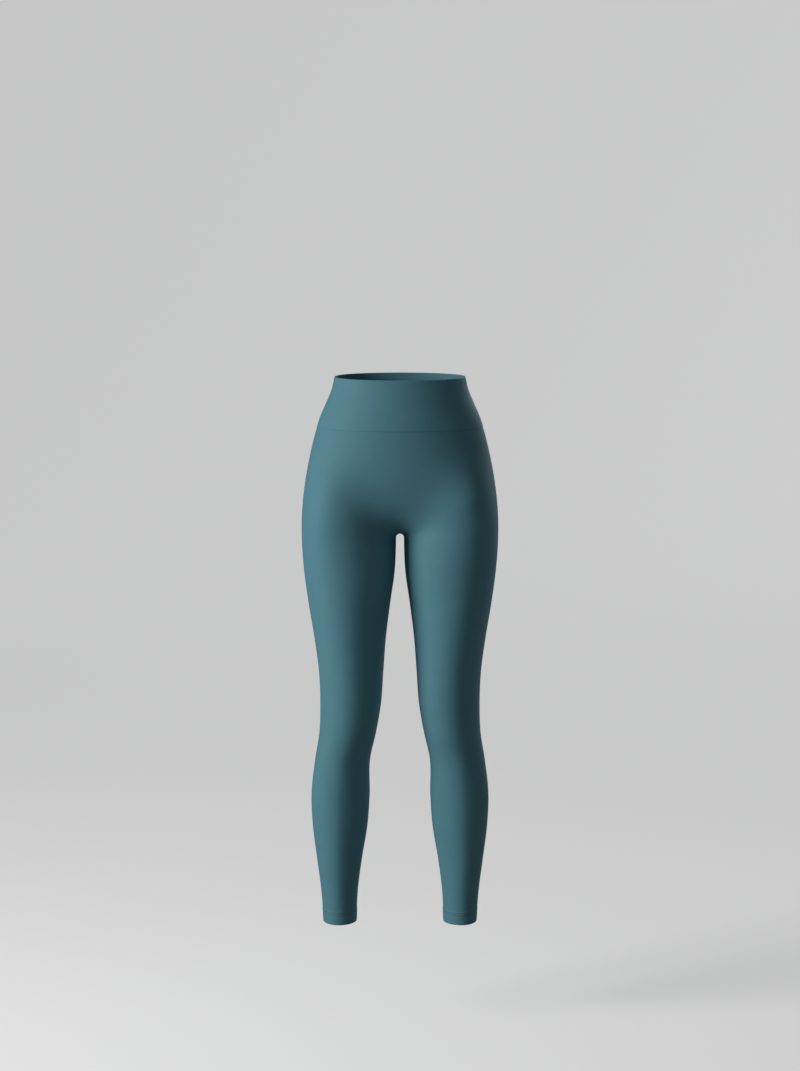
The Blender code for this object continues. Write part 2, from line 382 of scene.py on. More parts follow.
@dataclass(frozen=True)
class Seams:
    """Where the pieces are sewn together, and how the cloth dips and swells there."""

    form: WornForm
    gap: float = 0.0001  # between two pieces at their seam
    sink: float = 0.00026  # how deep the edges roll in
    roll: float = 0.0016  # how far from the seam the roll starts
    swell: float = 0.00020  # the seam's turned-in edges lift the cloth beside it
    swell_reach: float = 0.0048  # how far from the seam that fades
    step: float = 0.0004  # spacing of points along a seam
    fine_run: float = 0.030  # length of inseam below the fork where they lie twice as close

    def edge(self, drops: np.ndarray, way: Way, column: int) -> np.ndarray:
        """One edge of a half, at the given drops of the side seam."""
        return np.array([self.form.half_line(self.form.row(drop), way)[column] for drop in drops])

    def side(self) -> np.ndarray:
        """The right side seam, from the waist down."""
        return self.edge(np.arange(0, self.form.length, self.step), Way.FRONT, -1)

    def inseam(self) -> np.ndarray:
        """The right inseam, from the fork down to the hem.

        Returns:
            Its points.
        """
        near = np.arange(0, self.fine_run, self.step / 2)
        far = np.arange(self.fine_run, self.form.length - self.form.fork_side, self.step)
        return self.edge(self.form.fork_side + np.concatenate([near, far]), Way.FRONT, 0)

    def centre_back(self) -> np.ndarray:
        """The centre-back seam, from the waistband to the fork.

        Returns:
            Its points, all on the centre plane.
        """
        drops = np.arange(self.form.band, self.form.fork_side, self.step)
        line = self.edge(drops, Way.BACK, 0)
        line[:, 0] = 0.0
        return line

    def waist(self) -> np.ndarray:
        """The seam under the waistband, as a closed ring.

        Returns:
            Points round the body, from the centre front by the wearer's right.
        """
        row = self.form.row(self.form.band)
        front = self.form.half_line(row, Way.FRONT)
        back = self.form.half_line(row, Way.BACK)[::-1]
        right = np.vstack([front[:-1], back])
        return np.vstack([right, mirrored(right)[::-1][1:-1]])

    def finder(self) -> KDTree:
        """A search tree over points on every seam of the right half.

        Returns:
            The tree, ready to be searched.
        """
        ring = self.waist()
        closed = np.vstack([ring, ring[:1]])
        waist = spread(closed, np.linspace(0, 1, int(length_of(closed) / self.step)))
        lines = [waist, self.side(), self.inseam(), self.centre_back()]
        points = np.vstack([line[line[:, 0] <= self.roll] for line in lines])
        tree = KDTree(len(points))
        for index, point in enumerate(points):
            tree.insert(Vector(point), index)
        tree.balance()
        return tree

    def lift(self, distance: np.ndarray) -> np.ndarray:
        """How far the cloth stands out of the form near a seam.

        Args:
            distance: from the nearest seam.

        Returns:
            A small swell beside the seam, and a dip at the seam itself.
        """
        swell = self.swell * np.exp(-((distance / self.swell_reach) ** 2))
        dip = self.sink * np.clip(1 - distance / self.roll, 0, 1) ** 2
        return swell - dip


class Crease(NamedTuple):
    """A soft trough in the cloth, with a low ridge on either side."""

    way: Way
    hand: Hand
    share: float  # place across the half, 0 at centre or inseam and 1 at the side seam
    drop: float
    reach: float  # half of its length
    width: float  # from its middle to the top of the ridge beside it
    depth: float
    tilt: float  # degrees, rising towards the side seam
    bow: float  # how far its ends rise above its middle


CREASES = (
    # Behind the knees
    Crease(Way.BACK, Hand.RIGHT, 0.52, 0.622, 0.046, 0.0075, 0.00095, 3, 0.004),
    Crease(Way.BACK, Hand.RIGHT, 0.40, 0.643, 0.034, 0.0060, 0.00070, -5, 0.003),
    Crease(Way.BACK, Hand.RIGHT, 0.63, 0.603, 0.028, 0.0065, 0.00045, 8, -0.002),
    Crease(Way.BACK, Hand.LEFT, 0.47, 0.628, 0.050, 0.0070, 0.00100, -2, 0.005),
    Crease(Way.BACK, Hand.LEFT, 0.60, 0.651, 0.030, 0.0058, 0.00060, 6, 0.002),
    Crease(Way.BACK, Hand.LEFT, 0.36, 0.607, 0.025, 0.0068, 0.00050, -9, -0.003),
    # Under the seat
    Crease(Way.BACK, Hand.RIGHT, 0.36, 0.318, 0.058, 0.0115, 0.00120, 7, 0.010),
    Crease(Way.BACK, Hand.RIGHT, 0.24, 0.338, 0.030, 0.0080, 0.00055, 14, 0.003),
    Crease(Way.BACK, Hand.LEFT, 0.33, 0.321, 0.062, 0.0120, 0.00115, 6, 0.009),
    Crease(Way.BACK, Hand.LEFT, 0.20, 0.343, 0.026, 0.0075, 0.00060, 17, 0.002),
    # Small of the back
    Crease(Way.BACK, Hand.RIGHT, 0.30, 0.101, 0.045, 0.0095, 0.00040, -4, 0.003),
    Crease(Way.BACK, Hand.LEFT, 0.22, 0.106, 0.038, 0.0100, 0.00045, 5, 0.002),
    # From the fork, front and back
    Crease(Way.FRONT, Hand.RIGHT, 0.10, 0.288, 0.026, 0.0060, 0.00035, 32, 0.002),
    Crease(Way.FRONT, Hand.LEFT, 0.12, 0.284, 0.023, 0.0062, 0.00032, 36, 0.002),
    Crease(Way.BACK, Hand.RIGHT, 0.08, 0.283, 0.022, 0.0065, 0.00060, 40, 0.001),
    Crease(Way.BACK, Hand.LEFT, 0.09, 0.290, 0.024, 0.0060, 0.00055, 35, 0.001),
    # Ankles
    Crease(Way.BACK, Hand.RIGHT, 0.50, 0.905, 0.026, 0.0060, 0.00050, -4, 0.003),
    Crease(Way.BACK, Hand.LEFT, 0.44, 0.912, 0.030, 0.0058, 0.00055, 5, 0.003),
    Crease(Way.FRONT, Hand.RIGHT, 0.58, 0.921, 0.020, 0.0060, 0.00022, 5, 0.002),
    Crease(Way.FRONT, Hand.LEFT, 0.40, 0.908, 0.022, 0.0062, 0.00020, -6, 0.002),
    # Sides of the knees
    Crease(Way.FRONT, Hand.RIGHT, 0.90, 0.640, 0.016, 0.0065, 0.00030, 12, 0.001),
    Crease(Way.FRONT, Hand.LEFT, 0.12, 0.632, 0.015, 0.0062, 0.00028, -14, 0.001),
)
CREASE_RIDGE = 2.2  # how strong the ridges beside a trough are
CREASE_FADE = 2.0  # how soon they fade


class Ease(NamedTuple):
    """How much wider the worn cloth is than its flat cut, at one height."""

    drop: float
    stretch: float


EASES = (
    Ease(0.000, 1.13),
    Ease(0.087, 1.17),
    Ease(0.190, 1.22),
    Ease(0.300, 1.24),
    Ease(0.450, 1.22),
    Ease(0.620, 1.18),
    Ease(0.745, 1.22),
    Ease(0.900, 1.17),
    Ease(0.975, 1.16),
)


# ---- Node trees -----------------------------------------------------------------------------


def operation(name: str, swapped: bool = False) -> Callable[..., Term]:
    """A method that puts a term through a Math node.

    Args:
        name: the node's operation.
        swapped: whether the term is the second of its two values.

    Returns:
        The method. It takes the other value, a term or a number, where there is one.
    """

    def method(term: Term, *others: Term | float) -> Term:
        """The Math node's result."""
        values = (*others, term) if swapped else (term, *others)
        return term.web.sum(name, *values)

    return method


class Term:
    """A socket that takes part in sums. Numbers stand on either side of an operator."""

    def __init__(self, web: Web, socket: bpy.types.NodeSocket) -> None:
        """Wrap a socket of one web."""
        self.web = web
        self.socket = socket

    __add__ = __radd__ = operation("ADD")
    __sub__ = operation("SUBTRACT")
    __rsub__ = operation("SUBTRACT", swapped=True)
    __mul__ = __rmul__ = operation("MULTIPLY")
    __truediv__ = operation("DIVIDE")
    __pow__ = operation("POWER")
    __abs__ = operation("ABSOLUTE")
    sine = operation("SINE")
    cosine = operation("COSINE")
    fraction = operation("FRACT")


class Web:
    """Adds nodes to one tree."""

    def __init__(self, tree: bpy.types.NodeTree) -> None:
        """Empty a tree and keep it."""
        tree.nodes.clear()
        self.tree = tree

    def node(
        self, kind: str, settings: dict | None = None, inputs: dict | None = None
    ) -> bpy.types.Node:
        """Add a node.

        Args:
            kind: the node's type.
            settings: properties, set first.
            inputs: values or links, by a socket's name or number.

        Returns:
            The node.
        """
        node = self.tree.nodes.new(kind)
        for name, value in (settings or {}).items():
            setattr(node, name, value)
        for key, value in (inputs or {}).items():
            if isinstance(value, Term):
                self.tree.links.new(value.socket, node.inputs[key])
            else:
                node.inputs[key].default_value = value
        return node

    def term(
        self,
        kind: str,
        output: str | int = 0,
        settings: dict | None = None,
        inputs: dict | None = None,
    ) -> Term:
        """Add a node and wrap one of its outputs."""
        return Term(self, self.node(kind, settings, inputs).outputs[output])

    def sum(self, operation: str, *values: Term | float) -> Term:
        """A Math node on terms and numbers."""
        return self.term("ShaderNodeMath", 0, {"operation": operation}, dict(enumerate(values)))

    def vectors(self, operation: str, *values: Term | Sequence[float]) -> Term:
        """A Vector Math node on terms and vectors."""
        settings = {"operation": operation}
        return self.term("ShaderNodeVectorMath", 0, settings, dict(enumerate(values)))

    def split(self, vector: Term) -> tuple[Term, Term, Term]:
        """The three parts of a vector."""
        node = self.node("ShaderNodeSeparateXYZ", inputs={0: vector})
        return tuple(Term(self, socket) for socket in node.outputs)

    def joined(self, **parts: Term | float) -> Term:
        """A vector of the parts named, with the others 0."""
        return self.term("ShaderNodeCombineXYZ", inputs=parts)

    def attribute(self, name: str, output: str = "Fac") -> Term:
        """A value that the mesh keeps under a name."""
        return self.term("ShaderNodeAttribute", output, {"attribute_name": name})

    def noise(self, place: Term, grain: float, detail: float = 2.0) -> Term:
        """Soft noise from 0 to 1.

        Args:
            place: where to read it.
            grain: size of its patches, in metres.
            detail: how many finer layers it has.

        Returns:
            The noise.
        """
        inputs = {"Vector": place, "Scale": 1 / grain, "Detail": detail, "Roughness": 0.5}
        return self.term("ShaderNodeTexNoise", "Fac", inputs=inputs)

    def blend(self, share: Term, first: Term | Colour, second: Term | Colour) -> Term:
        """A mix of two colours.

        Args:
            share: how much of the second, from 0 to 1.
            first: a colour.
            second: another.

        Returns:
            The mix.
        """
        settings = {"data_type": "RGBA", "clamp_factor": True}
        inputs = {"Factor": share}
        for number, colour in ((6, first), (7, second)):
            inputs[number] = colour if isinstance(colour, Term) else (*colour, 1.0)
        return self.term("ShaderNodeMix", 2, settings, inputs)

    def bump(self, height: Term, distance: float, normal: Term | None = None) -> Term:
        """Tilt the surface by a height.

        Args:
            height: from 0 to 1.
            distance: what a height of 1 is, in metres.
            normal: the surface as it already is, or None for the mesh's own.

        Returns:
            The tilted surface.
        """
        inputs = {"Height": height, "Distance": distance, "Strength": 1.0}
        if normal is not None:
            inputs["Normal"] = normal
        return self.term("ShaderNodeBump", inputs=inputs)


def shade(colour: Colour, share: float) -> Colour:
    """A colour made lighter or darker by a share."""
    return tuple(min(part * share, 1.0) for part in colour)


# ---- Finishes -------------------------------------------------------------------------------

TURN = 2 * math.pi
CLOTH_MAP = "cloth"  # the UV map: metres across and down the cloth
STRETCH = "stretch"  # 0 where the cloth is slackest and 1 where it is most stretched
SEAM_NEAR = "seam_near"  # 1 at a seam, 0 away from it: where the knit paints shade along the seam's groove
PLY = "ply"  # place on a stitch: along it, and round it


@dataclass(frozen=True)
class Finish:
    """A material made from nodes."""

    name: str
    colour: Colour

    def look(self, web: Web, place: Term) -> dict[str, object]:
        """Values and links of the shader's sockets. Each kind of finish has its own.

        Args:
            web: the material's web.
            place: the place on the piece.

        Returns:
            Them by the socket's name.
        """
        raise NotImplementedError

    def material(self) -> bpy.types.Material:
        """Make the material.

        Returns:
            It, ready to be worn.
        """
        material = bpy.data.materials.new(self.name)
        material.use_nodes = True
        web = Web(material.node_tree)
        place = web.term("ShaderNodeTexCoord", "Object")
        shader = web.term("ShaderNodeBsdfPrincipled", "BSDF", inputs=self.look(web, place))
        web.node("ShaderNodeOutputMaterial", inputs={"Surface": shader})
        return material


@dataclass(frozen=True)
class Knit(Finish):
    """Fine stretch jersey of matt nylon with a soft sheen."""

    loops: Loops = Loops.FACE
    roughness: float = 0.61
    sheen: float = 0.10
    sheen_roughness: float = 0.45
    sheen_tint: Colour = (0.40, 0.82, 0.92)
    specular: float = 0.18
    wale: float = 0.00056  # one column of loops
    course: float = 0.00044  # one row of loops
    relief: float = 0.00005  # height of a loop
    lean: float = 1.2  # courses by which a loop's legs would rise across a whole wale
    notch: float = 0.45  # half the depth of the notches between loops, as a share of the relief
    sway: float = 0.9  # how far the rows of loop heads wave, in radians
    patch: float = 0.028  # size of the faint uneven patches of dye
    patch_tone: float = 0.45  # how much paler the palest of them is
    fibre: float = 0.0016  # size of the faint flecks
    fibre_tone: float = 0.30  # how much paler the palest of them is
    fibre_rough: float = 0.06  # and how much rougher
    loop_highlight_and_shade: float = 0.16  # painted highlight on the top of a loop and painted shade between loops: how much paler the top is
    loop_rough: float = 0.05  # how much smoother the top of a loop is
    stretch_tone: float = 0.30  # how much paler stretched cloth is
    stretch_rough: float = 0.03  # how much smoother it is
    seam_painted_shade: float = 0.18  # how much painted shade darkens the cloth in a seam's groove
    contrast: float = 0.10  # how far the tone takes the colour up and down
    hue_patch: float = 0.084  # size of the patches that are a little cooler
    hue_offset: Point = (3.1, 1.7, 0.4)  # keeps them apart from the patches of dye
    hue_share: float = 0.5  # how far they lean to the cool colour at most
    cool: Colour = (0.92, 0.99, 1.07)  # that colour, as shares of the cloth's own
    ripple: float = 0.0042  # size of the surface's unevenness
    ripple_height: float = 0.00005

    def height(self, web: Web, across: Term, down: Term) -> Term:
        """The relief of the loops.

        Args:
            web: the material's web.
            across: metres across the cloth.
            down: metres down the cloth.

        Returns:
            Height from 0 to about 1.
        """
        if self.loops is Loops.REVERSE:
            wave = (across * (TURN / self.wale)).sine() * self.sway
            return (down * (TURN / self.course) + wave).cosine() * 0.5 + 0.5
        place = abs((across / self.wale).fraction() - 0.5)
        leg = (place * TURN).sine()
        slant = (down * (TURN / self.course) + place * (TURN * self.lean)).cosine()
        return leg * (slant * self.notch + (1 - self.notch))

    def look(self, web: Web, place: Term) -> dict[str, object]:
        """Values and links of the shader's sockets.

        Args:
            web: the material's web.
            place: the place on the piece.

        Returns:
            Them by the socket's name.
        """
        across, down, _ = web.split(web.term("ShaderNodeUVMap", 0, {"uv_map": CLOTH_MAP}))
        stretch = web.attribute(STRETCH)
        loops = self.height(web, across, down)
        flecks = web.noise(place, self.fibre, 1.0)
        tone = web.noise(place, self.patch) * self.patch_tone + flecks * self.fibre_tone
        # Painted shade darkens the cloth along the seams' grooves
        tone = tone + stretch * self.stretch_tone - web.attribute(SEAM_NEAR) * self.seam_painted_shade
        # Painted highlight on the loop tops and painted shade in the notches between them
        tone = tone + loops * self.loop_highlight_and_shade
        dark, light = (shade(self.colour, 1 + sign * self.contrast) for sign in (-1, 1))
        colour = web.blend(tone, dark, light)
        hue = web.noise(web.vectors("ADD", place, self.hue_offset), self.hue_patch)
        cooler = web.vectors("MULTIPLY", colour, self.cool)
        rough = flecks * self.fibre_rough - loops * self.loop_rough
        ripples = web.bump(web.noise(place, self.ripple), self.ripple_height)
        return {
            "Base Color": web.blend(hue * self.hue_share, colour, cooler),
            "Roughness": rough - stretch * self.stretch_rough + self.roughness,
            "Normal": web.bump(loops, self.relief, ripples),
            "Sheen Weight": self.sheen,
            "Sheen Roughness": self.sheen_roughness,
            "Sheen Tint": (*self.sheen_tint, 1.0),
            "Specular IOR Level": self.specular,
        }


@dataclass(frozen=True)
class Thread(Finish):
    """Two-ply sewing thread of soft textured nylon."""

    roughness: float = 0.48
    sheen: float = 0.2
    specular: float = 0.4
    plies: float = 2.0
    twist: float = 0.0009  # distance along the thread from one ply to the next
    groove: float = 0.00004  # depth between the plies
    ply_shade_share: float = 0.7  # share of the tone that is painted shade in the grooves between the plies and painted highlight on their crests
    dark: float = 0.72  # the darkest and the lightest, as shares of the colour
    light: float = 1.15
    patch: float = 0.004  # size of the uneven patches
    fuzz: float = 0.0007  # and of the fuzz that makes it rougher
    fuzz_rough: float = 0.12

    def look(self, web: Web, place: Term) -> dict[str, object]:
        """Values and links of the shader's sockets.

        Args:
            web: the material's web.
            place: the place on the piece.

        Returns:
            Them by the socket's name.
        """
        along, side, top = web.split(web.attribute(PLY, "Vector"))
        round_it = web.sum("ARCTAN2", side, top) * self.plies
        plies = (along * (TURN / self.twist) + round_it).sine() * 0.5 + 0.5
        patches = web.noise(place, self.patch) * (1 - self.ply_shade_share)
        ends = (shade(self.colour, share) for share in (self.dark, self.light))
        # The grooves between the plies carry painted shade and their crests a painted highlight
        return {
            "Base Color": web.blend(plies * self.ply_shade_share + patches, *ends),
            "Roughness": web.noise(place, self.fuzz) * self.fuzz_rough + self.roughness,
            "Normal": web.bump(plies, self.groove),
            "Sheen Weight": self.sheen,
            "Specular IOR Level": self.specular,
        }


@dataclass(frozen=True)
class Paint(Finish):
    """Matt studio paint, evenly lit, and a little darker near the garment than far from it."""

    far: Colour = (0.87, 0.87, 0.87)
    near_end: float = 1.0  # distances from the middle of the floor
    far_start: float = 4.6
    glow: float = 0.53  # the even light of the studio on it
    roughness: float = 0.85
    cloud: float = 0.9  # size of the faint clouds left by the roller
    cloud_tone: float = 0.06  # how far they take the paint towards its far colour
    grain: float = 0.012  # size of the paint's orange peel
    grain_height: float = 0.00008

    def look(self, web: Web, place: Term) -> dict[str, object]:
        """Values and links of the shader's sockets.

        Args:
            web: the material's web.
            place: the place on the piece.

        Returns:
            Them by the socket's name.
        """
        across, behind, _ = web.split(place)
        away = (across * across + behind * behind) ** 0.5
        turned = (away - self.near_end) / (self.far_start - self.near_end)
        clouds = web.noise(place, self.cloud) * self.cloud_tone
        colour = web.blend(turned + clouds, self.colour, self.far)
        return {
            "Base Color": colour,
            "Roughness": self.roughness,
            "Emission Color": colour,
            "Emission Strength": self.glow,
            "Normal": web.bump(web.noise(place, self.grain), self.grain_height),
            "Specular IOR Level": 0.0,
        }


@dataclass(frozen=True)
class Finishes:
    """Every finish of the garment, made once."""

    knit: Knit = Knit("teal_knit", (0.101, 0.258, 0.314))
    reverse: Knit = Knit(
        "teal_knit_reverse",
        (0.104, 0.261, 0.315),
        Loops.REVERSE,
        roughness=0.69,
        sheen=0.15,
        relief=0.00006,
    )
    band: Knit = Knit("waistband_knit", (0.103, 0.266, 0.323))
    thread: Thread = Thread("teal_thread", (0.050, 0.145, 0.180))
    seam_thread: Thread = Thread("seam_thread", (0.088, 0.230, 0.282))
    made: dict[str, bpy.types.Material] = field(default_factory=dict)

    def of(self, finish: Finish) -> bpy.types.Material:
        """The material of a finish.

        Args:
            finish: the finish.

        Returns:
            Its material, made the first time it is asked for.
        """
        if finish.name not in self.made:
            self.made[finish.name] = finish.material()
        return self.made[finish.name]


# ---- Cloth ----------------------------------------------------------------------------------

SEAM_REACH = 0.0012  # how far from a seam its line of painted shade fades
ON_PLANE = 1e-7  # distance within which a point is on the centre plane
WELD = 1e-6  # distance within which two points on it are one
SHORTEST = 1e-12  # least length that a direction is divided by


class Place(NamedTuple):
    """A row of cloth: its height, and how far out of the form it lies."""

    drop: float
    out: float


class HalfCloth(NamedTuple):
    """Half of a piece as a grid of points, rows down and columns from centre to side seam."""

    points: np.ndarray
    across: np.ndarray  # metres from the centre plane or inseam, along the cloth
    down: np.ndarray  # metres along the cloth from its first row
    ease: np.ndarray  # how much wider than its flat cut each row is worn
    seam: np.ndarray  # distance from the nearest seam

    def flat_cut(self) -> tuple[float, float, float]:
        """Size of the half before it is stretched onto the wearer.

        Returns:
            Its greatest width, its length and its area.
        """
        widths = self.across[:, -1] / self.ease
        run = self.down[:, self.down.shape[1] // 2]
        area = float(np.sum((widths[1:] + widths[:-1]) / 2 * np.diff(run)))
        return float(widths.max()), float(run[-1]), area


def surface_normals(points: np.ndarray, sign: int) -> np.ndarray:
    """Unit directions out of a grid's right side.

    Args:
        points: rows, columns and three coordinates.
        sign: which way round the grid runs.

    Returns:
        One direction a point.
    """
    down = np.gradient(points, axis=0)
    across = np.gradient(points, axis=1)
    normal = sign * np.cross(down, across)
    return normal / np.maximum(np.linalg.norm(normal, axis=2), SHORTEST)[:, :, None]


@dataclass(frozen=True)
class Tailor:
    """Lays cloth on the worn form, row by row."""

    form: WornForm
    seams: Seams
    finder: KDTree
    columns: int = 46  # even columns between the close ones at a half's two edges
    # Distances from a seam of the rows and columns close to it
    edge: tuple[float, ...] = (0.0004, 0.0008, 0.0013, 0.0020, 0.0032, 0.0050, 0.0075)
    down_step: float = 0.0044  # most distance between rows
    bend_share: float = 0.72  # share of it where the body parts into legs
    fork_step: float = 0.0014  # most distance close to the fork
    hem_step: float = 0.0006  # at the hem's stitching
    inner_step: float = 0.002  # and inside the hem
    fold_rows: int = 9
    wall: float = 0.0010  # one layer of the knit
    layer_gap: float = 0.0003  # air between two layers

    def columns_of(self, run: float) -> np.ndarray:
        """Shares of a row's length at which its columns lie.

        Args:
            run: the row's length.

        Returns:
            Shares from the first seam to the other, close together at both.
        """
        edge = np.array([self.seams.gap / 2, *self.edge])
        middle = np.linspace(edge[-1], run - edge[-1], self.columns + 2)[1:-1]
        return np.concatenate([edge, middle, run - edge[::-1]]) / run

    def lay(self, places: Sequence[Place], way: Way, joined: bool) -> HalfCloth:
        """Lay rows of cloth on the right half of the form.

        Args:
            places: the rows.
            way: front or back.
            joined: whether the piece runs on across the centre plane.

        Returns:
            The half, dipped at its seams.
        """
        rows = [self.form.row(place.drop) for place in places]
        above = [row.above_fork for row in rows]
        lines = []
        for place, row in zip(places, rows):
            line = self.form.half_line(row, way, place.out)
            cloth = spread(line, self.columns_of(length_of(line)))
            if row.above_fork and joined:
                cloth[0] = line[0]
                cloth[0, 0] = 0.0
            elif row.above_fork:
                cloth[0, 0] = min(cloth[0, 0], -self.seams.gap / 2)
            lines.append(cloth)
        points = np.array(lines)
        seam = np.array([self.finder.find(Vector(point))[2] for point in points.reshape(-1, 3)])
        seam = seam.reshape(points.shape[:2])
        normals = surface_normals(points, -way.value)
        points = points + normals * self.seams.lift(seam)[:, :, None]
        if joined:
            points[above, 0, 0] = 0.0
        steps_down, steps_across = (
            np.linalg.norm(np.diff(points, axis=axis), axis=2) for axis in (0, 1)
        )
        across = np.pad(np.cumsum(steps_across, axis=1), ((0, 0), (1, 0)))
        down = np.pad(np.cumsum(steps_down, axis=0), ((1, 0), (0, 0)))
        ease = np.interp([place.drop for place in places], *np.array(EASES).T)
        return HalfCloth(points, across, down, ease, seam)

    def fold(self, edge: float, out: float, radius: float, hangs: int) -> list[Place]:
        """Rows round a folded edge, from the outer layer to the inner one.

        Args:
            edge: drop of the folded edge.
            out: how far out of the form the outer layer lies.
            radius: of the fold's outer face.
            hangs: 1 if the cloth hangs below its fold, -1 if it stands above it.

        Returns:
            Rows of a half turn.
        """
        return [
            Place(
                edge + hangs * radius * (1 - math.sin(bend)),
                out - radius * (1 - math.cos(bend)),
            )
            for bend in np.linspace(0, math.pi, self.fold_rows)
        ]

    def even(self, start: float, end: float, most: float) -> list[float]:
        """Even steps from start up to but without end, none longer than the most."""
        count = math.ceil(abs(end - start) / most)
        return list(np.linspace(start, end, count + 1))[:-1]


def creased(half: HalfCloth, way: Way, hand: Hand) -> np.ndarray:
    """Press the creases into one half.

    Args:
        half: the half as laid on the wearer's right.
        way: front or back.
        hand: which side it is for.

    Returns:
        Its points, on the side of the wearer that it is for.
    """
    points = half.points if hand is Hand.RIGHT else mirrored(half.points)
    normals = surface_normals(points, way.value * hand.value)
    drops = -half.points[:, :, 2]
    lift = np.zeros(drops.shape)
    for crease in CREASES:
        if crease.way is not way or crease.hand is not hand:
            continue
        row = int(np.argmin(np.abs(drops[:, drops.shape[1] // 2] - crease.drop)))
        x = half.across - crease.share * half.across[row, -1]
        y = crease.drop - drops
        tilt = math.radians(crease.tilt)
        along = x * math.cos(tilt) + y * math.sin(tilt)
        aside = y * math.cos(tilt) - x * math.sin(tilt)
        aside = aside - crease.bow * (along / crease.reach) ** 2
        ends = np.clip(1 - (along / crease.reach) ** 2, 0, 1) ** 2
        near = (aside / crease.width) ** 2
        lift += crease.depth * ends * (near * CREASE_RIDGE - 1) * np.exp(-CREASE_FADE * near)
    return points + normals * lift[:, :, None]


def cloth_object(
    name: str, half: HalfCloth, way: Way, hands: Sequence[Hand], wall: float
) -> bpy.types.Object:
    """Make a piece of cloth from a half, its mirror image, or both.

    Args:
        name: of the piece.
        half: as laid on the wearer's right.
        way: front or back.
        hands: the sides of the wearer that it covers.
        wall: thickness of the cloth.

    Returns:
        The piece, with its wall as a live modifier.
    """
    rows, across = half.across.shape
    grid = np.arange(rows * across).reshape(rows, across)
    square = np.stack([grid[:-1, :-1], grid[:-1, 1:], grid[1:, 1:], grid[1:, :-1]], axis=2)
    points, corners, faces = [], [], []
    for count, hand in enumerate(hands):
        points.append(creased(half, way, hand).reshape(-1, 3))
        side = half.across * hand.value
        corners.append(np.column_stack([side.ravel(), half.down.ravel()]))
        quads = square.reshape(-1, 4) + count * grid.size
        faces.append(quads if way.value * hand.value > 0 else quads[:, ::-1])
    quads = np.vstack(faces)
    mesh = bpy.data.meshes.new(name)
    mesh.from_pydata(np.vstack(points).tolist(), [], quads.tolist())
    layer = mesh.uv_layers.new(name=CLOTH_MAP)
    layer.data.foreach_set("uv", np.vstack(corners)[quads.ravel()].astype(np.float32).ravel())
    low, high = (pick(ease.stretch for ease in EASES) for pick in (min, max))
    kept = {
        STRETCH: np.repeat((half.ease - low) / (high - low), across),
        # mask of the painted shade along the seams
        SEAM_NEAR: np.exp(-((half.seam / SEAM_REACH) ** 2)).ravel(),
    }
    for attribute, values in kept.items():
        made = mesh.attributes.new(attribute, "FLOAT", "POINT")
        made.data.foreach_set("value", np.tile(values, len(hands)).astype(np.float32))
    weld_centre(mesh)
    mesh.shade_smooth()
    piece = bpy.data.objects.new(name, mesh)
    garment_collection().objects.link(piece)
    thickness = piece.modifiers.new("wall", "SOLIDIFY")
    thickness.thickness = wall
    thickness.offset = -1.0
    thickness.material_offset = 1
    return piece


def garment_collection() -> bpy.types.Collection:
    """The collection that holds every piece.

    Returns:
        It, made the first time it is asked for.
    """
    made = bpy.data.collections.get("leggings")
    if made is None:
        made = bpy.data.collections.new("leggings")
        bpy.context.scene.collection.children.link(made)
    return made


def weld_centre(mesh: bpy.types.Mesh) -> None:
    """Join the two halves of a piece where they meet on the centre plane.

    Args:
        mesh: the piece's mesh.
    """
    work = bmesh.new()
    work.from_mesh(mesh)
    middle = [vertex for vertex in work.verts if abs(vertex.co.x) < ON_PLANE]
    bmesh.ops.remove_doubles(work, verts=middle, dist=WELD)
    work.to_mesh(mesh)
    work.free()


# ---- Pieces ---------------------------------------------------------------------------------


@dataclass
class Cut:
    """Pieces cut from cloth, laid on the form and dressed in their knits."""

    tailor: Tailor
    finishes: Finishes
    waist_gap: float = 0.0002  # between the waistband and the panels

    def make(
        self, node: str, slot: str, way: Way, hands: Sequence[Hand], knits: Sequence[Knit]
    ) -> bpy.types.Object:
        """Make one piece, hang it from the body and hide the CAD node that it replaces.

        Args:
            node: the CAD node that it replaces.
            slot: not used.
            way: front or back.
            hands: the sides of the wearer that it covers.
            knits: those of its right side and of its wrong side.

        Returns:
            The piece.
        """
        half = self.tailor.lay(self.places(), way, joined=len(hands) == 2)
        piece = cloth_object(f"{node}_cloth", half, way, hands, self.tailor.wall)
        for knit in knits:
            piece.data.materials.append(self.finishes.of(knit))
        width, length, area = half.flat_cut()
        area *= len(hands)
        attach(piece, BODY)
        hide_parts(node)
        return piece

    def places(self) -> list[Place]:
        """The rows of cloth. Each kind of piece has its own."""
        raise NotImplementedError


@dataclass
class Waistband(Cut):
    """The wide band, cut double and folded over at the top edge."""

    proud: float = 0.0005  # how far it stands out from the panels
    fold_radius: float = 0.0011

    def places(self) -> list[Place]:
        """Rows from the inside's lower edge up over the fold and down to the waist seam.

        Returns:
            The rows.
        """
        tailor = self.tailor
        bottom = tailor.form.band - self.waist_gap / 2
        fold_end = self.fold_radius * 2
        close = [bottom - step for step in (0, *tailor.edge)]
        rise = tailor.even(close[-1], fold_end, tailor.down_step)
        outer = [Place(drop, self.proud) for drop in close[:-1] + rise]
        fold = tailor.fold(0.0, self.proud, self.fold_radius, hangs=1)
        fall = [*tailor.even(fold_end, bottom, tailor.down_step), bottom]
        inner = [Place(drop, self.proud - fold_end) for drop in fall]
        return (outer + fold + inner)[::-1]

    def build(self) -> None:
        """Make the front and the back of the band."""
        for way in Way:
            node = f"waistband_{way.name.lower()}"
            self.make(node, BAND_SLOT, way, tuple(Hand), (self.finishes.band,) * 2)


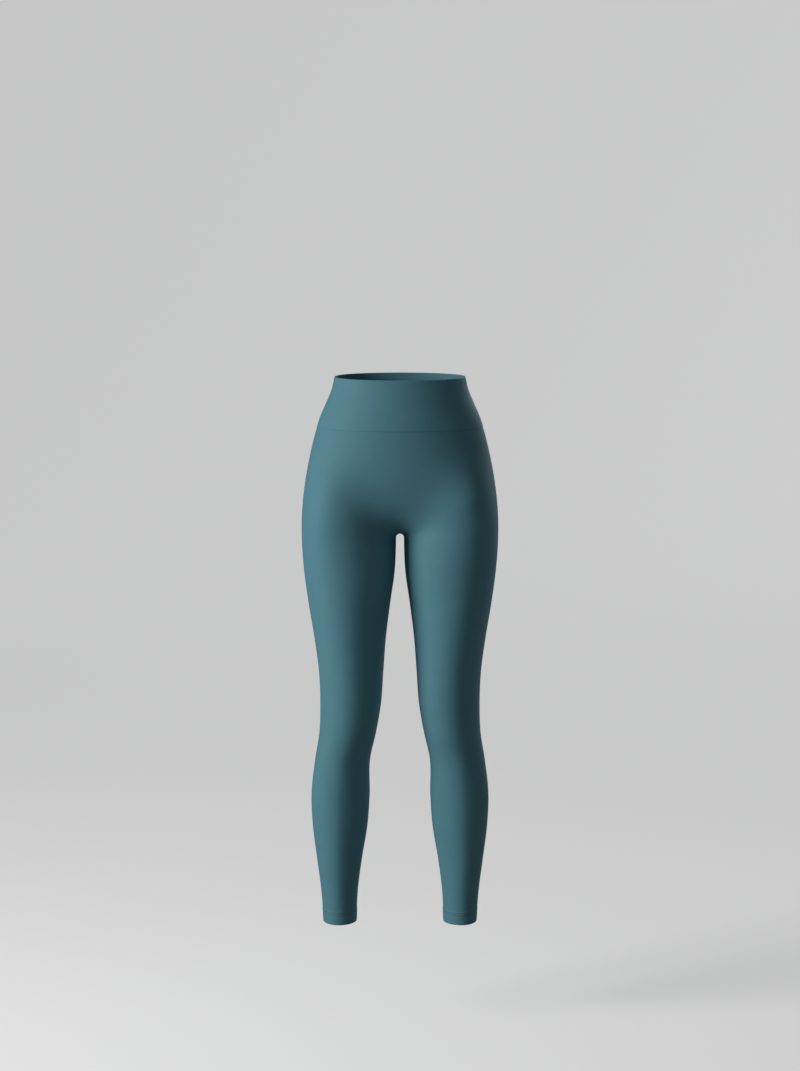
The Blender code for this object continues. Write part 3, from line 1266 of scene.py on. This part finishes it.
@dataclass
class Panels(Cut):
    """The body panels, from the waist seam to the turned-up leg ends."""

    hem: float = 0.024  # height of the turned-up leg end
    stitch_rows: tuple[float, ...] = (0.0168, 0.0207)  # heights of the hem's stitching
    groove: float = 0.00036  # how deep the stitches pull the cloth in
    groove_reach: float = 0.0010  # how far from a row of them that fades
    hem_proud: float = 0.00055  # how far the layer behind lifts the hem
    hem_above: float = 0.001  # the lift starts this far above the layer behind
    hem_rise: float = 0.0022  # and takes this much height
    hem_lead: float = 0.002  # the rows of points are close from here above the hem
    fork_above: float = 0.006  # and from here above the row that ends at the fork
    fork_below: float = 0.022  # to here below it

    def fold_radius(self) -> float:
        """Radius of the outer face of the cloth round the edge of the hem."""
        return self.tailor.wall + self.tailor.layer_gap / 2

    def relief(self, height: float) -> float:
        """How far the outer layer stands out of the form.

        Args:
            height: above the hem's edge.

        Returns:
            The distance out, less where the stitches pull it in.
        """
        lifted = smooth_step((self.hem + self.hem_above - height) / self.hem_rise)
        dips = [math.exp(-(((height - row) / self.groove_reach) ** 2)) for row in self.stitch_rows]
        return float(self.hem_proud * lifted - self.groove * sum(dips))

    def drops(self) -> list[float]:
        """Drops of the outer layer's rows, closer together where the cloth bends.

        Returns:
            Drops from the waist seam to the start of the hem's fold.
        """
        form, tailor = self.tailor.form, self.tailor
        close = [form.band + self.waist_gap / 2 + step for step in (0, *tailor.edge)]
        bend_step = tailor.down_step * tailor.bend_share
        spans = (
            (close[-1], tailor.down_step),
            (form.back_parts, bend_step),
            (form.fork_side - self.fork_above, tailor.fork_step),
            (form.fork_side + self.fork_below, bend_step),
            (form.legs_level, tailor.down_step),
            (form.length - self.hem - self.hem_lead, tailor.hem_step),
        )
        starts = [start for start, _ in spans]
        ends = [*starts[1:], form.length - self.fold_radius() * 2]
        drops = close[:-1]
        for (start, most), end in zip(spans, ends):
            drops += tailor.even(start, end, most)
        return drops

    def places(self) -> list[Place]:
        """Rows from the waist seam to the hem, round its fold and up inside the leg.

        Returns:
            The rows.
        """
        length, radius = self.tailor.form.length, self.fold_radius()
        outer = [Place(drop, self.relief(length - drop)) for drop in self.drops()]
        fold = self.tailor.fold(length, self.hem_proud, radius, hangs=-1)
        top = length - self.hem
        rise = [*self.tailor.even(length - 2 * radius, top, self.tailor.inner_step), top]
        return outer + fold + [Place(drop, self.hem_proud - 2 * radius) for drop in rise]

    def build(self) -> None:
        """Make the front in one piece and the back in two."""
        knits = (self.finishes.knit, self.finishes.reverse)
        self.make("front_panel", BODY_SLOT, Way.FRONT, tuple(Hand), knits)
        for hand in Hand:
            self.make(f"back_{hand.name.lower()}", BODY_SLOT, Way.BACK, (hand,), knits)


# ---- Stitches -------------------------------------------------------------------------------


@dataclass(frozen=True)
class Stitch:
    """One kind of stitch, repeated along a line."""

    pitch: float
    length: float
    radius: float
    rise: float  # how high its middle stands over the line
    crosswise: bool = False  # whether it lies across the line
    uneven: float = 0.06  # how much one stitch differs from the next
    seed: int = 11
    ring: int = 6  # sides of the thread
    bends: int = 5  # lengths along it


class StitchTree:
    """The node tree that lays stitches along a line of mesh edges."""

    OUTWARD = "outward"
    # The kind of socket for each type that a size of a stitch can have
    SOCKETS = {"float": "NodeSocketFloat", "bool": "NodeSocketBool", "int": "NodeSocketInt"}
    SUNK = 1.1  # how far a stitch's ends lie below the line, in radii of the thread

    def __init__(self, thread: bpy.types.Material) -> None:
        """Build the tree for one thread.

        Args:
            thread: its material.
        """
        self.tree = bpy.data.node_groups.new(f"stitches_{thread.name}", "GeometryNodeTree")
        face = self.tree.interface
        face.new_socket("Geometry", in_out="INPUT", socket_type="NodeSocketGeometry")
        face.new_socket("Geometry", in_out="OUTPUT", socket_type="NodeSocketGeometry")
        for size in fields(Stitch):
            face.new_socket(size.name, in_out="INPUT", socket_type=self.SOCKETS[size.type])
        web = Web(self.tree)
        given = web.node("NodeGroupInput")
        sizes = {size.name: Term(web, given.outputs[size.name]) for size in fields(Stitch)}
        line = Term(web, given.outputs["Geometry"])
        laid = self.lay(web, sizes, line, self.one_stitch(web, sizes))
        real = web.term("GeometryNodeRealizeInstances", inputs={"Geometry": laid})
        inputs = {"Geometry": real, "Material": thread}
        dressed = web.term("GeometryNodeSetMaterial", inputs=inputs)
        web.node("NodeGroupOutput", inputs={"Geometry": dressed})

    def one_stitch(self, web: Web, sizes: dict[str, Term]) -> Term:
        """A bent length of thread along X, with both ends sunk below the line.

        Args:
            web: the tree's web.
            sizes: the tree's inputs.

        Returns:
            The stitch's mesh, with the place of each point kept as an attribute.
        """
        half = sizes["length"] * 0.5
        sunk = sizes["radius"] * -self.SUNK
        bow = {
            "Resolution": sizes["bends"],
            "Start": web.joined(X=half * -1.0, Z=sunk),
            "Middle": web.joined(Z=sizes["rise"] * 2 - sunk),
            "End": web.joined(X=half, Z=sunk),
        }
        arc = web.term("GeometryNodeCurveQuadraticBezier", inputs=bow)
        round_it = {"Resolution": sizes["ring"], "Radius": sizes["radius"]}
        ring = web.term("GeometryNodeCurvePrimitiveCircle", inputs=round_it)
        tube_parts = {"Curve": arc, "Profile Curve": ring, "Fill Caps": True}
        tube = web.term("GeometryNodeCurveToMesh", inputs=tube_parts)
        smooth = web.term("GeometryNodeSetShadeSmooth", inputs={"Geometry": tube})
        kept = {"Geometry": smooth, "Name": PLY, "Value": web.term("GeometryNodeInputPosition")}
        settings = {"data_type": "FLOAT_VECTOR", "domain": "POINT"}
        return web.term("GeometryNodeStoreNamedAttribute", 0, settings, kept)

    def lay(self, web: Web, sizes: dict[str, Term], line: Term, stitch: Term) -> Term:
        """Put a stitch at every pitch of the line, flat on the cloth.

        Args:
            web: the tree's web.
            sizes: the tree's inputs.
            line: mesh edges with an outward direction at each point.
            stitch: one stitch.

        Returns:
            The stitches as instances.
        """
        curve = web.term("GeometryNodeMeshToCurve", inputs={"Mesh": line})
        pitch = {"Curve": curve, "Length": sizes["pitch"]}
        even = web.term("GeometryNodeResampleCurve", 0, {"mode": "LENGTH"}, pitch)
        along = web.term("GeometryNodeInputTangent")
        vector = {"data_type": "FLOAT_VECTOR"}
        name = {"Name": self.OUTWARD}
        outward = web.term("GeometryNodeInputNamedAttribute", 0, vector, name)
        aside = web.vectors("CROSS_PRODUCT", outward, along)
        ways = {"Switch": sizes["crosswise"], "False": along, "True": aside}
        axis = web.term("GeometryNodeSwitch", 0, {"input_type": "VECTOR"}, ways)
        axes = {"primary_axis": "Z", "secondary_axis": "X"}
        aims = {"Primary Axis": outward, "Secondary Axis": axis}
        turn = web.term("FunctionNodeAxesToRotation", 0, axes, aims)
        low, high = (
            web.joined(**dict.fromkeys("XYZ", size))
            for size in (1 - sizes["uneven"], 1 + sizes["uneven"])
        )
        limits = {"Min": low, "Max": high, "Seed": sizes["seed"]}
        scale = web.term("FunctionNodeRandomValue", 0, vector, limits)
        inputs = {"Points": even, "Instance": stitch, "Rotation": turn, "Scale": scale}
        return web.term("GeometryNodeInstanceOnPoints", inputs=inputs)

    def sew(self, name: str, lines: Sequence[SeamLine], stitch: Stitch) -> bpy.types.Object:
        """Lay stitches along lines and turn them into a plain mesh.

        Args:
            name: of the piece.
            lines: where the stitches go.
            stitch: their kind.

        Returns:
            The stitches as one piece.
        """
        edges = []
        first = 0
        for line in lines:
            after = first + len(line.points)
            edges += [(i, i + 1) for i in range(first, after - 1)]
            if line.closed:
                edges.append((after - 1, first))
            first = after
        mesh = bpy.data.meshes.new(f"{name}_line")
        mesh.from_pydata(np.vstack([line.points for line in lines]).tolist(), edges, [])
        layer = mesh.attributes.new(self.OUTWARD, "FLOAT_VECTOR", "POINT")
        outward = np.vstack([line.outward for line in lines])
        layer.data.foreach_set("vector", outward.astype(np.float32).ravel())
        guide = bpy.data.objects.new(f"{name}_guide", mesh)
        bpy.context.scene.collection.objects.link(guide)
        modifier = guide.modifiers.new("stitches", "NODES")
        modifier.node_group = self.tree
        sockets = {part.name: part.identifier for part in self.tree.interface.items_tree}
        for size in fields(Stitch):
            modifier[sockets[size.name]] = getattr(stitch, size.name)
        ready = guide.evaluated_get(bpy.context.evaluated_depsgraph_get())
        sewn = bpy.data.meshes.new_from_object(ready)
        sewn.name = name
        bpy.data.objects.remove(guide, do_unlink=True)
        piece = bpy.data.objects.new(name, sewn)
        garment_collection().objects.link(piece)
        return piece


@dataclass
class Stitching:
    """The hems' two rows of stitches, and the seam threads that show in the grooves."""

    tailor: Tailor
    finishes: Finishes
    panels: Panels
    top: Stitch = Stitch(pitch=0.0026, length=0.0024, radius=0.00021, rise=0.00016)
    ditch: Stitch = Stitch(
        pitch=0.0024,
        length=0.0011,
        radius=0.00011,
        rise=0.00004,
        crosswise=True,
        uneven=0.10,
        seed=23,
        ring=5,
        bends=3,
    )
    ditch_depth: float = 0.00030  # how far below the form's surface the seam thread lies
    band_clear: float = 0.001  # between the waistband and the first stitch of a seam
    fold_clear: float = 0.002  # and from the last one to the hem's edge

    def leg_ring(self, height: float) -> SeamLine:
        """A level ring round the right leg.

        Args:
            height: above the hem's edge.

        Returns:
            The closed line, on the cloth.
        """
        form = self.tailor.form
        row = form.row(form.length - height)
        parts = []
        for way in Way:
            half = form.half_line(row, way, self.panels.relief(height))
            level = form.outward(half[:, :2], way, row.above_fork)
            parts.append(np.column_stack([half, level])[:: -way.value][:-1])
        ring = np.vstack(parts)
        return SeamLine(ring[:, :3], np.pad(ring[:, 3:], ((0, 0), (0, 1))), True)

    def seam_line(self, points: np.ndarray, axis: Point) -> SeamLine:
        """An open seam between the waistband and the hem's fold, sunk into its groove.

        Args:
            points: the seam.
            axis: a direction in the cloth, square to it.

        Returns:
            The line of its thread.
        """
        drops = -points[:, 2]
        form = self.tailor.form
        clear = (drops > form.band + self.band_clear) & (drops < form.length - self.fold_clear)
        outward = line_normals(points, axis)[clear]
        lift = [self.panels.relief(form.length - drop) - self.ditch_depth for drop in drops[clear]]
        return SeamLine(points[clear] + outward * np.array(lift)[:, None], outward, False)

    def waist_line(self) -> SeamLine:
        """The waist seam, sunk into its groove.

        Returns:
            The closed line of its thread.
        """
        points = self.tailor.seams.waist()
        ring = np.vstack([points[-1:], points, points[:1]])
        outward = line_normals(ring, (0, 0, 1))[1:-1]
        return SeamLine(points - outward * self.ditch_depth, outward, True)

    def build(self) -> None:
        seams = self.tailor.seams
        hems = [self.leg_ring(height) for height in self.panels.stitch_rows]
        side = self.seam_line(seams.side(), (0, 1, 0))
        inseam = self.seam_line(seams.inseam(), (0, -1, 0))
        centre = self.seam_line(seams.centre_back(), (1, 0, 0))
        hem_tree = StitchTree(self.finishes.of(self.finishes.thread))
        seam_tree = StitchTree(self.finishes.of(self.finishes.seam_thread))
        rows = (
            ("hem_stitches_right", BODY_SLOT, hem_tree, self.top, hems),
            ("hem_stitches_left", BODY_SLOT, hem_tree, self.top, [h.other_side() for h in hems]),
            ("waist_seam_thread", BAND_SLOT, seam_tree, self.ditch, [self.waist_line()]),
            ("side_seam_thread", BODY_SLOT, seam_tree, self.ditch, [side, side.other_side()]),
            ("inseam_thread", BODY_SLOT, seam_tree, self.ditch, [inseam, inseam.other_side()]),
            ("centre_back_seam_thread", BODY_SLOT, seam_tree, self.ditch, [centre]),
        )
        for name, slot, tree, stitch, lines in rows:
            piece = tree.sew(name, lines, stitch)
            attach(piece, BODY)
            LOG.info("%s: %d faces", piece.name, len(piece.data.polygons))


# ---- Studio ---------------------------------------------------------------------------------


class Lamp(NamedTuple):
    """A soft square light."""

    name: str
    place: Point
    size: float
    power: float
    spread: float  # degrees
    colour: Colour
    garment_only: bool = False  # whether it leaves the floor and the wall unlit


LAMPS = (
    Lamp("key", (-3.05, -1.38, 0.50), 1.6, 28.0, 100, (1.0, 0.995, 0.985)),
    Lamp("back", (1.9, 3.6, 1.4), 2.4, 60.0, 180, (1.0, 1.0, 1.0), True),
)


@dataclass
class Studio:
    """A plain pale floor that curves up into a wall all round, soft lights and the camera."""

    paint: Paint = Paint("pale_paint", (0.76, 0.76, 0.76))
    floor_drop: float = 1.165
    radius: float = 7.0
    height: float = 6.0
    bend: float = 2.6  # radius of the curve between floor and wall
    bend_parts: int = 24
    sides: int = 96
    first_ring: float = 0.5  # share of the flat floor at which its first ring of points lies
    aim: Point = (0.0, 0.0, -0.45)  # what the lamps face
    air: Colour = (0.97, 0.985, 1.0)
    ambient: float = 0.13  # strength of the light from all round
    eye: Point = (0.0, -5.0, 0.40)
    pitch: float = 7.747  # degrees down
    lens: float = 96.45
    sensor: float = 36.0
    sight: float = 60.0  # how far the camera sees

    def build(self) -> None:
        """Make the sweep, the lights and the camera."""
        self.sweep()
        for lamp in LAMPS:
            self.lamp(lamp)
        self.sky()
        self.camera()

    def sweep(self) -> None:
        """The floor and the wall. Only the lamps and the air light the garment."""
        flat = self.radius - self.bend
        profile = [(flat * self.first_ring, 0.0)]
        for turn in np.linspace(0, math.pi / 2, self.bend_parts + 1):
            profile.append((flat + self.bend * math.sin(turn), self.bend * (1 - math.cos(turn))))
        profile.append((self.radius, self.height))
        turns = np.linspace(0, 2 * math.pi, self.sides, endpoint=False)
        points = [(0.0, 0.0, -self.floor_drop)]
        points += [
            (away * math.sin(turn), -away * math.cos(turn), up - self.floor_drop)
            for away, up in profile
            for turn in turns
        ]
        faces = []
        for side in range(self.sides):
            after = (side + 1) % self.sides
            faces.append((0, 1 + side, 1 + after))
            for ring in range(len(profile) - 1):
                low, high = 1 + ring * self.sides, 1 + (ring + 1) * self.sides
                faces.append((low + side, high + side, high + after, low + after))
        mesh = bpy.data.meshes.new("studio_sweep")
        mesh.from_pydata(points, [], faces)
        mesh.shade_smooth()
        mesh.materials.append(self.paint.material())
        stage = bpy.data.objects.new("studio_sweep", mesh)
        stage.visible_diffuse = False
        stage.visible_glossy = False
        bpy.context.scene.collection.objects.link(stage)
        stage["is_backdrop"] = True

    def lamp(self, lamp: Lamp) -> None:
        """Add one soft light.

        Args:
            lamp: what it is like.
        """
        light = bpy.data.lights.new(lamp.name, "AREA")
        light.shape = "SQUARE"
        light.size = lamp.size
        light.energy = lamp.power
        light.spread = math.radians(lamp.spread)
        light.color = lamp.colour
        made = bpy.data.objects.new(lamp.name, light)
        made.location = lamp.place
        way = Vector(self.aim) - Vector(lamp.place)
        made.rotation_euler = way.to_track_quat("-Z", "Y").to_euler()
        made.visible_camera = False
        if lamp.garment_only:
            made.light_linking.receiver_collection = garment_collection()
        bpy.context.scene.collection.objects.link(made)

    def sky(self) -> None:
        """Even light from all round."""
        world = bpy.data.worlds.new("studio_air")
        world.use_nodes = True
        background = world.node_tree.nodes["Background"]
        background.inputs["Color"].default_value = (*self.air, 1.0)
        background.inputs["Strength"].default_value = self.ambient
        bpy.context.scene.world = world

    def camera(self) -> None:
        """The camera, and a plain rendering of its light."""
        eye = bpy.data.cameras.new("camera")
        eye.lens = self.lens
        eye.sensor_width = self.sensor
        eye.clip_end = self.sight
        made = bpy.data.objects.new("camera", eye)
        made.location = self.eye
        made.rotation_euler = (math.radians(90 - self.pitch), 0.0, 0.0)
        scene = bpy.context.scene
        scene.collection.objects.link(made)
        scene.camera = made
        scene.view_settings.view_transform = "Standard"


def corners(box: tuple[Sequence[float], Sequence[float]]) -> list[list[float]]:
    """A box's two corners as plain lists."""
    return [[float(part) for part in corner] for corner in box]


def main() -> None:
    """Build the garment and its studio."""
    logging.basicConfig(level=logging.INFO, format="%(name)s: %(message)s")
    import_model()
    solid_box = corners(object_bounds())
    form = WornForm()
    seams = Seams(form)
    tailor = Tailor(form, seams, seams.finder())
    finishes = Finishes()
    Waistband(tailor, finishes).build()
    panels = Panels(tailor, finishes)
    panels.build()
    Stitching(tailor, finishes, panels).build()
    Studio().build()
    {"cad": solid_box, "visual": corners(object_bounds())}


if __name__ == "__main__":
    main()
